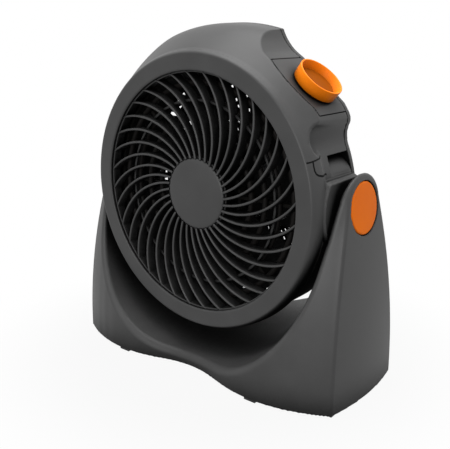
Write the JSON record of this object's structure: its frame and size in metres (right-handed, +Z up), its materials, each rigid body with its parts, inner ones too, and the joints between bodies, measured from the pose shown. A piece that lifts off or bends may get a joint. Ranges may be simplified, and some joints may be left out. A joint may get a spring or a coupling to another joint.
{
  "type": "fan heater",
  "caption": "Round fan heater with swept front vanes, a flared hood and a dial on its shoulder, tilting between the arms of a saddle base.",
  "frame": {"origin": "centre of the footprint, on the surface the feet stand on", "axes": "+Z up, the air leaves towards -Y, +X to the right seen from the front"},
  "size_m": [0.3154, 0.1496, 0.3217],
  "materials": {
    "charcoal": "fine moulded texture",
    "grille_black": "satin",
    "inner_black": "matte",
    "orange": "satin gloss",
    "orange_cap": "satin",
    "foot_rubber": "matte",
    "nylon": "natural",
    "steel": "zinc plated",
    "motor_metal": "lacquered laminations",
    "mica": "mica board",
    "element": "heat-darkened sheath"
  },
  "bodies": {
    "base": {"base_cradle": "charcoal", "base_plate": "inner_black", "base_screws": "steel", "feet": "foot_rubber", "pivot_cap_left": "orange_cap", "pivot_cap_right": "orange_cap", "pivot_bolt_left": "steel", "pivot_bolt_right": "steel", "friction_washer_left": "nylon", "friction_washer_right": "nylon"},
    "head": {"front_housing": "charcoal", "control_panel": "charcoal", "rotary_switch": "inner_black", "front_grille": "grille_black", "hub_disc": "grille_black", "air_duct": "inner_black", "heater_frame": "mica", "heater_rings": "element", "thermal_cutout": "steel", "motor": "motor_metal", "motor_bolts": "steel", "rear_grille": "grille_black", "cord_gland": "inner_black", "rear_housing": "charcoal", "housing_screws": "steel", "pivot_bush_left": "nylon", "pivot_bush_right": "nylon"},
    "fan": {"impeller": "inner_black", "motor_shaft": "steel", "impeller_nut": "inner_black"},
    "dial": {"knob": "orange", "switch_spindle": "steel"}
  },
  "joints": [
    {"name": "head_tilt", "type": "hinge", "parent": "base", "child": "head", "pos_m": [0, 0, 0.1721], "axis": [-1, 0, 0], "range_deg": [-10, 60]},
    {"name": "fan_spin", "type": "hinge", "parent": "head", "child": "fan", "pos_m": [0, 0, 0.1721], "axis": [0, 1, 0], "continuous": true},
    {"name": "dial_turn", "type": "hinge", "parent": "head", "child": "dial", "pos_m": [0.09447, -0.0082, 0.26997], "axis": [0.6521, 0, 0.7581], "range_deg": [-270, 0]}
  ]
}
